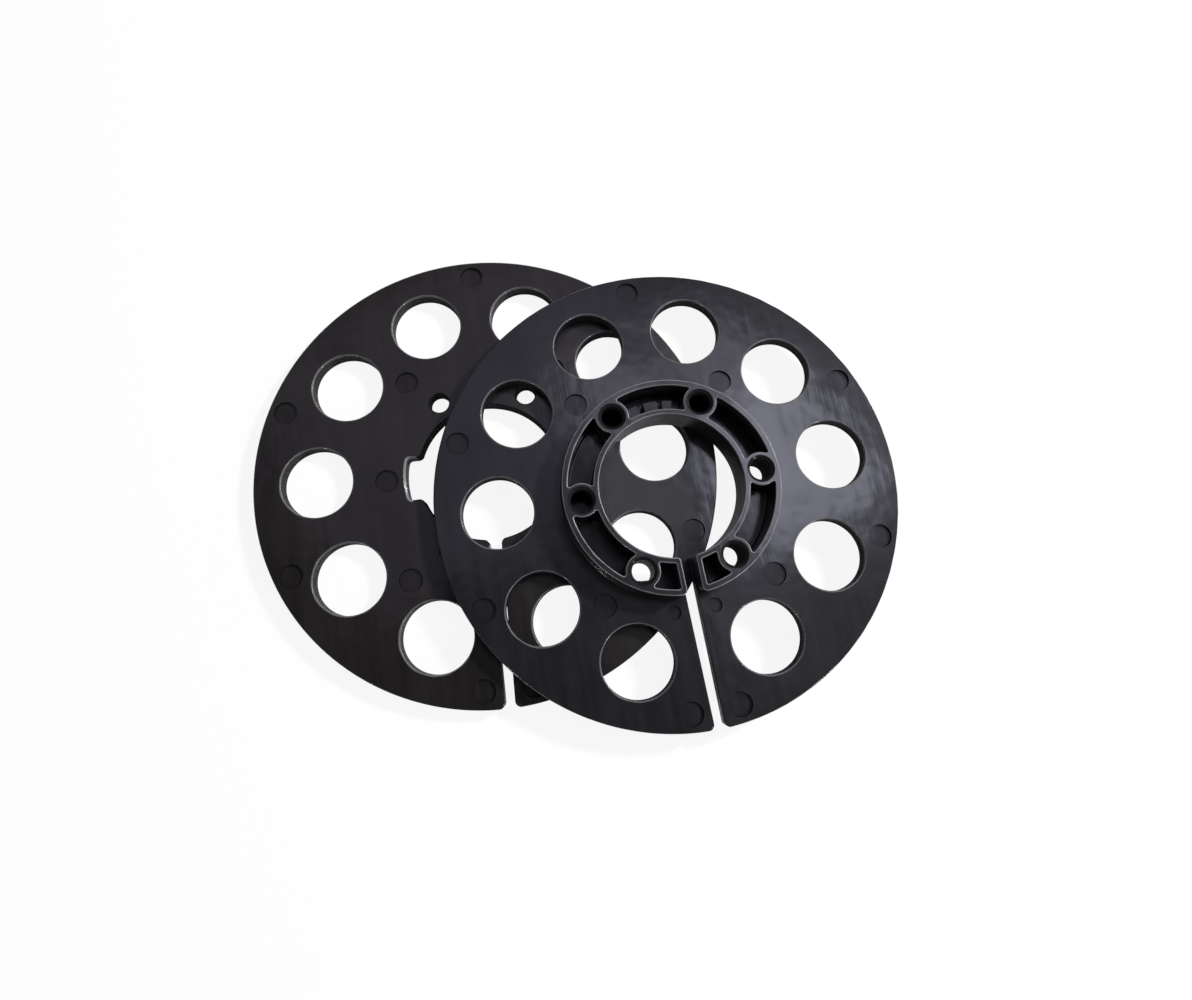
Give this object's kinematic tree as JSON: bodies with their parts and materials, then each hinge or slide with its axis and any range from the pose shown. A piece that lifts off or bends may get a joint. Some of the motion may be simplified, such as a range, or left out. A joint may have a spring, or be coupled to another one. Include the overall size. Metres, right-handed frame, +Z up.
{
  "type": "roll reel flange pair",
  "caption": "Black moulded reel flanges: a slotted disc with a low hub and screw bosses, lying on a flat slotted disc with key notches; round holes around both.",
  "frame": {"origin": "on the surface that the flanges lie on, under the middle of the pair, halfway between the two discs' centres", "axes": "+Z up, the discs' axis direction; -Y along the hub flange's slot, from its bore to its rim; +X from the keyed flange towards the hub flange"},
  "size_m": [0.2206, 0.179, 0.0175],
  "materials": {
    "keyed_flange_plastic": "moulded black plastic, soft satin gloss, slightly warm",
    "hub_flange_plastic": "moulded black plastic, soft satin gloss, slightly cool"
  },
  "bodies": {
    "keyed_flange": {"keyed_flange": "keyed_flange_plastic"},
    "hub_flange": {"hub_flange": "hub_flange_plastic"}
  },
  "joints": [
    {"name": "hub_flange_lift", "type": "slide", "parent": "keyed_flange", "child": "hub_flange", "axis": [0, 0, 1], "range_m": [0, 0.05]}
  ]
}
